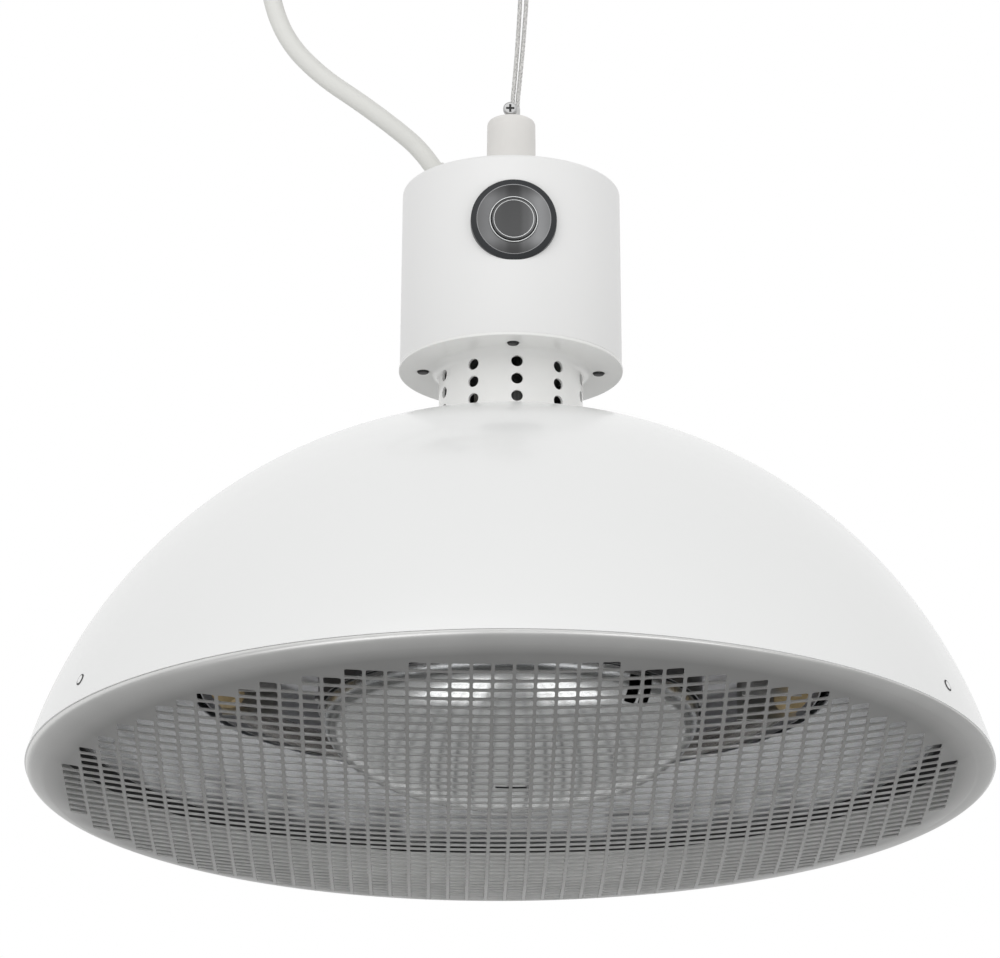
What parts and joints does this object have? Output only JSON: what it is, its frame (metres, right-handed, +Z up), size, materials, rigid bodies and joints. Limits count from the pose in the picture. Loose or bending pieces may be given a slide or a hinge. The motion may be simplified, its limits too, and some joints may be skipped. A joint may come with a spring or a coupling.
{
  "type": "hanging patio heater",
  "caption": "Ceiling hung electric patio heater: a domed shade over ring lamps and a perforated pan, with a housing and push button above, on a doubled wire rope.",
  "frame": {"origin": "centre of the ceiling plate's upper face, where it meets the ceiling", "axes": "+Z up; the front, with the button, looks along -Y; +X is the viewer's right"},
  "size_m": [0.425, 0.4248, 0.5941],
  "materials": {
    "white_paint": "gloss",
    "steel": "satin",
    "rope_steel": "stranded",
    "screw_chrome": "polished",
    "dark_screw": "satin",
    "cap_plastic": "matt",
    "lens_plastic": "gloss",
    "ring_chrome": "polished",
    "button_plastic": "gloss",
    "board_green": "satin",
    "black_plastic": "matt",
    "cream_plastic": "matt",
    "cord_rubber": "matt",
    "pin_brass": "satin",
    "reflector": "bright",
    "quartz": "gloss",
    "filament": "matt",
    "lamp_ceramic": "matt",
    "lead_sleeve": "braided",
    "grille_steel": "satin"
  },
  "bodies": {
    "ceiling": {"ceiling_plate": "white_paint", "ceiling_eye": "steel"},
    "link": {"link_body": "steel", "link_nut": "steel"},
    "heater": {"wire_rope": "rope_steel", "rope_stud": "steel", "rope_screw": "screw_chrome", "suspension_cap": "cap_plastic", "stem": "steel", "stem_nuts": "steel", "stem_washers": "steel", "housing_shell": "white_paint", "vent_collar": "white_paint", "flange_screws": "dark_screw", "control_lens": "lens_plastic", "button_ring": "ring_chrome", "button_spring": "steel", "control_board": "board_green", "board_switch": "black_plastic", "board_relay": "black_plastic", "terminal_block": "cream_plastic", "cord_gland": "cord_rubber", "gland_nut": "cream_plastic", "power_cord": "cord_rubber", "cord_coil": "cord_rubber", "cord_tail": "cord_rubber", "coil_ties": "black_plastic", "plug_body": "cord_rubber", "plug_pins": "pin_brass", "shade": "white_paint", "clamp_bridge": "steel", "heat_shield": "reflector", "thermal_cutout": "black_plastic", "spider": "steel", "channel_rivets": "steel", "lamp_channel": "reflector", "outer_reflector": "reflector", "central_reflector": "reflector", "bowl_rivets": "steel", "lamp_front": "quartz", "lamp_back": "quartz", "filament_front": "filament", "filament_back": "filament", "lamp_end_caps": "lamp_ceramic", "lamp_holders": "steel", "holder_screws": "steel", "lead_left": "lead_sleeve", "lead_right": "lead_sleeve", "grille_pan": "grille_steel", "rim_rivets": "white_paint"},
    "button": {"power_button": "button_plastic"}
  },
  "joints": [
    {"name": "link_swing", "type": "hinge", "parent": "ceiling", "child": "link", "pos_m": [0, 0, -0.034], "axis": [1, 0, 0], "range_deg": [-20, 20]},
    {"name": "heater_swing", "type": "hinge", "parent": "link", "child": "heater", "pos_m": [0, 0, -0.0662], "axis": [0, 1, 0], "range_deg": [-20, 20]},
    {"name": "button_press", "type": "slide", "parent": "heater", "child": "button", "axis": [0, 1, 0], "range_m": [0, 0.0012], "stiffness_N_per_m": 800, "springref_m": -0.001, "deforming": ["button_spring"]}
  ]
}
